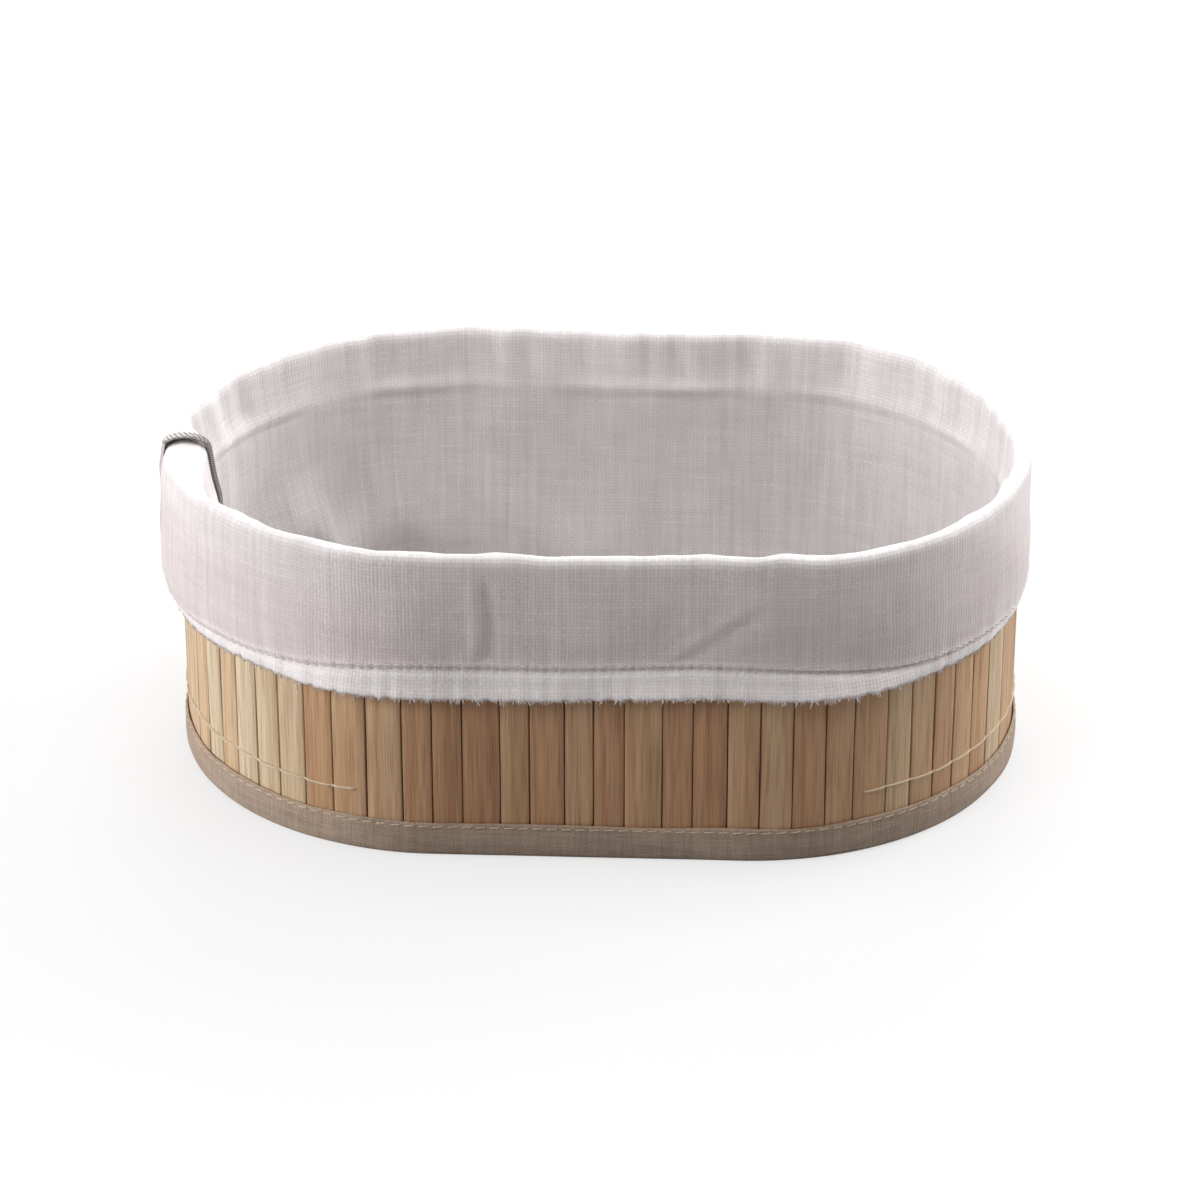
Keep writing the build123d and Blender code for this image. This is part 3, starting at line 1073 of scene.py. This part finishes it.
def make_fringe():
    """Short loose yarn ends along the raw edge, in uneven tufts."""
    draw = random.Random(61)
    count = FRINGE_ENDS
    steps = 4
    distance = np.array([(k + draw.uniform(-0.45, 0.45)) / count * around for k in range(count)])
    tufts = np.clip(0.5 + 0.7 * ripple_line(distance, 6 * MM, 9, 62), 0.05, 1.5)
    reach = 0.35 + tufts * np.array([draw.uniform(0.4, 1.3) for _ in range(count)])
    longer = [draw.uniform(0.3, 1.3) if draw.random() < 0.05 else 0.0 for _ in range(count)]
    reach = reach + np.array(longer)
    swing = np.array([draw.gauss(0, 0.22) for _ in range(count)])
    out = np.array([draw.gauss(0.05, 0.18) for _ in range(count)])
    share = np.linspace(0, 1, steps)[None, :]
    where = distance[:, None] + 0 * share
    root, normal = on_band(where, strip_width - 0.7 * MM)
    down = root - on_band(where, strip_width - 3 * MM)[0]
    down = down / np.linalg.norm(down, axis=-1, keepdims=True)
    side = np.cross(normal, down)
    drop = (reach[:, None] * MM) * share
    paths = root + side * (drop * swing[:, None] * (1 + share))[..., None]
    paths = paths + normal * (drop * share * out[:, None])[..., None]
    paths = paths + down * (drop + 0.7 * MM * share)[..., None]
    radius = (0.24 - 0.10 * share) * MM + 0 * drop
    piece = threads("hem_yarn_ends", paths, normal, radius, linen_yarn, sides=5)
    return stand_for(piece, "liner", "liner_yarn", "hem_fringe")


fringe = make_fringe()


def make_side_seam():
    """The lap's end inside, whipped over its edge up to the rim and over it with yarn made dark as
    painted shade for the gap at the lap.
    """
    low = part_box("side_seam")[0].z
    first = float(np.interp(low, strip_height[strip < top_t], strip[strip < top_t]))
    last = top_t + 3.5 * MM
    count = round((last - first) / (0.65 * MM))
    root = np.linspace(first, last, count)[:, None]
    turn = np.linspace(-1, 1, 9)[None, :]
    reach = np.array([0.0, 0.35, 0.7, 1.0, 1.0, 1.0, 0.7, 0.35, 0.0])[None, :]
    distance = around + LAP_OVER - 1.9 * MM + 2.0 * MM * reach + 0 * root
    points, normal = on_band(np.minimum(distance, around + LAP_OVER), root + 0.5 * MM * turn)
    ahead = np.cross(normal, np.gradient(points, axis=0))
    ahead = ahead / np.linalg.norm(ahead, axis=-1, keepdims=True)
    sign = np.sign((ahead * (points[:, 4:5] - points[:, :1])).sum(axis=-1, keepdims=True).sum())
    over = np.clip(1 - np.abs(turn) * 3, 0, 1) * 0.55 * MM
    side = np.clip(turn * 3, -1, 1)
    paths = points + normal * (side * (CLOTH / 2 + 0.12 * MM))[..., None]
    paths = paths + ahead * (sign * over[..., None])
    out = normal * side[..., None] + ahead * sign * (1 - np.abs(side))[..., None] + 1e-6
    piece = threads("side_seam_stitches", paths, out, 0.19 * MM, shade_dark_seam_yarn, sides=6)
    return stand_for(piece, "liner", "liner_yarn", "side_seam")


side_seam = make_side_seam()

# ---- the liner's floor
floor_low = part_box("liner_floor")[0]
FLOOR_CLOTH = 0.8 * MM


def floor_sag(x, y):
    """Soft unevenness of the floor panel, which never goes below the board."""
    spread = ripples(x + 0.3, y, 62 * MM, 55 * MM, 8, 71)
    return 0.35 * MM * (1 + spread)


panel_radius = half_width("liner_floor") + 0.2 * MM
liner_floor = oval_panel(
    "linen_floor", panel_radius, floor_low.z, FLOOR_CLOTH, floor_sag, shaded_floor_linen, 60, 360
)
stand_for(liner_floor, "liner", "liner_linen", "liner_floor")

seam_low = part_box("floor_seam")[0]
seam_radius = half_width("floor_seam") - 1.0 * MM
SEAM_COLUMNS = 700
seam_round = np.arange(SEAM_COLUMNS + 1) * around / SEAM_COLUMNS
pucker = ripple_line(seam_round, 5 * MM, 8, 73)
seam_height = seam_low.z + 0.5 * MM + 0.12 * MM * pucker
ridge = place(seam_round, seam_radius + 0.25 * MM * pucker, seam_height)
ridge[..., 2] += 0.3 * MM
thick = (1.0 + 0.18 * pucker[None]) * 0.75 * MM
floor_seam = threads(
    "floor_seam_ridge", ridge[None], np.array([0, 0, 1.0]), thick, shaded_floor_linen, sides=10
)
stand_for(floor_seam, "liner", "liner_linen", "floor_seam")

# the plain round label
label_low, label_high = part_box("round_label")
label_centre = (label_low + label_high) / 2
label_radius = (label_high.x - label_low.x) / 2


def make_label():
    """A disc of fine cotton with a softly rounded edge, which lies as the floor lies."""
    columns, rings = 96, 14
    turn = np.arange(columns)[:, None] * 2 * math.pi / columns
    share = np.linspace(0.06, 0.97, rings - 1)
    share = np.concatenate([[0.001, 0.004], share, [0.99, 1.0]])[None, :]
    x = label_centre.x + label_radius * share * np.cos(turn)
    y = label_centre.y + label_radius * share * np.sin(turn)
    edge = np.clip((share - 0.93) / 0.07, 0, 1)
    thick = 0.9 * MM * np.sqrt(np.clip(1 - edge**2, 0, 1)) / 2
    base = floor_low.z + FLOOR_CLOTH + floor_sag(x, y) + 0.55 * MM + 0.15 * MM * share**4
    top = np.stack([x, y, base + thick], axis=-1)
    bottom = np.stack([x, y, base - thick], axis=-1)[:, ::-1]
    points = np.concatenate([top, bottom], axis=1)
    faces, _, _ = grid_faces(columns, points.shape[1], True, True)
    uvs = points.reshape(-1, 3)[faces][..., :2] + 0.5
    return add_mesh("plain_round_label", points, faces, uvs, label_cotton)


stand_for(make_label(), "liner", "label_cotton", "round_label")

# ---- floor, light and camera
FLOOR_SHOWN = 0.20
FLOOR_GLOW = 0.71
GLOW_NEAR, GLOW_FAR = 0.5, 2.6  # metres out, between which the floor fades into the sky
FLOOR_BOUNCE = 0.35
SKY_SHOWN = 0.95
SKY_LIGHT = 0.01


def floor_paint():
    """A pale matt floor with light shadows, which throws less light on the basket than it shows."""
    paint = Paint("studio_floor")
    seen = paint.node("ShaderNodeLightPath").outputs["Is Camera Ray"]
    low, high = (FLOOR_BOUNCE,) * 3, (FLOOR_SHOWN,) * 3
    paint.set(Roughness=0.9, Specular_IOR_Level=0.2, Emission_Color=(*WHITE, 1.0))
    paint.set(Base_Color=paint.blend(seen, low, high))
    where = paint.node("ShaderNodeTexCoord").outputs["Object"]
    far = paint.node("ShaderNodeVectorMath", where, operation="LENGTH").outputs["Value"]
    glow = paint.span(far, GLOW_NEAR, GLOW_FAR, FLOOR_GLOW, SKY_SHOWN - 0.02)
    paint.set(Emission_Strength=paint.mul(seen, glow))
    return paint.material


def light_sky(tree):
    """An even pale backdrop, which lights the basket less than it shows."""
    ground = tree.nodes["Background"]
    seen = tree.nodes.new("ShaderNodeLightPath").outputs["Is Camera Ray"]
    strength = tree.nodes.new("ShaderNodeMapRange")
    strength.inputs["To Min"].default_value = SKY_LIGHT
    strength.inputs["To Max"].default_value = SKY_SHOWN
    tree.links.new(seen, strength.inputs["Value"])
    tree.links.new(strength.outputs[0], ground.inputs["Strength"])
    ground.inputs["Color"].default_value = (*WHITE, 1.0)


STAGE_REACH = 6.0
STAGE_Z = -0.3 * MM  # a hair below the basket, so the two faces don't meet
stage_mesh = bpy.data.meshes.new("studio_floor")
corners = ((-1, -1), (1, -1), (1, 1), (-1, 1))
corners = [(x * STAGE_REACH, y * STAGE_REACH, STAGE_Z) for x, y in corners]
stage_mesh.from_pydata(corners, [], [(0, 1, 2, 3)])
stage_mesh.materials.append(floor_paint())
studio_floor = put("studio_floor", stage_mesh)

world = bpy.data.worlds.new("studio")
world.use_nodes = True
bpy.context.scene.world = world
light_sky(world.node_tree)
bpy.context.scene.view_settings.view_transform = "Standard"

middle = Vector((0, 0, 0.05))


def soft_box(name, position, size, power, colour=WHITE):
    """A square area light that looks at the basket."""
    light = bpy.data.lights.new(name, "AREA")
    light.size = size
    light.energy = power
    light.color = colour
    lamp = put(name, light)
    lamp.location = position
    lamp.rotation_euler = (middle - Vector(position)).to_track_quat("-Z", "Y").to_euler()


ROSY = (1.0, 0.945, 0.935)
soft_box("front_left_box", (-1.2, -1.2, 1.2), 0.8, 13.8, ROSY)
soft_box("low_left_box", (-1.5, -0.1, 0.35), 0.6, 15.2, (1.0, 0.97, 0.985))
soft_box("right_box", (1.5, 0.15, 0.75), 0.9, 12.6, ROSY)
soft_box("top_box", (0.0, 0.1, 1.8), 1.2, 21.0)
soft_box("back_box", (0.0, 1.3, 1.3), 1.0, 14.0)
soft_box("back_right_box", (1.3, 0.9, 0.9), 0.8, 16.0)

ELEVATION = math.radians(27.1)
AZIMUTH = math.radians(2.5)
AIM_HEIGHT = 0.17  # this and the next are in lengths of the oval
DISTANCE = 5.24
oval_length = 2 * (end_centre + slat_face)
aim = Vector((0, 0, AIM_HEIGHT * oval_length))
away = DISTANCE * oval_length
level = math.cos(ELEVATION)
eye = aim + away * Vector(
    (math.sin(AZIMUTH) * level, -math.cos(AZIMUTH) * level, math.sin(ELEVATION))
)
lens = bpy.data.cameras.new("camera")
lens.lens = 130.6
lens.sensor_width = 36.0
camera = put("camera", lens)
camera.location = eye
camera.rotation_euler = (aim - eye).to_track_quat("-Z", "Y").to_euler()
bpy.context.scene.camera = camera
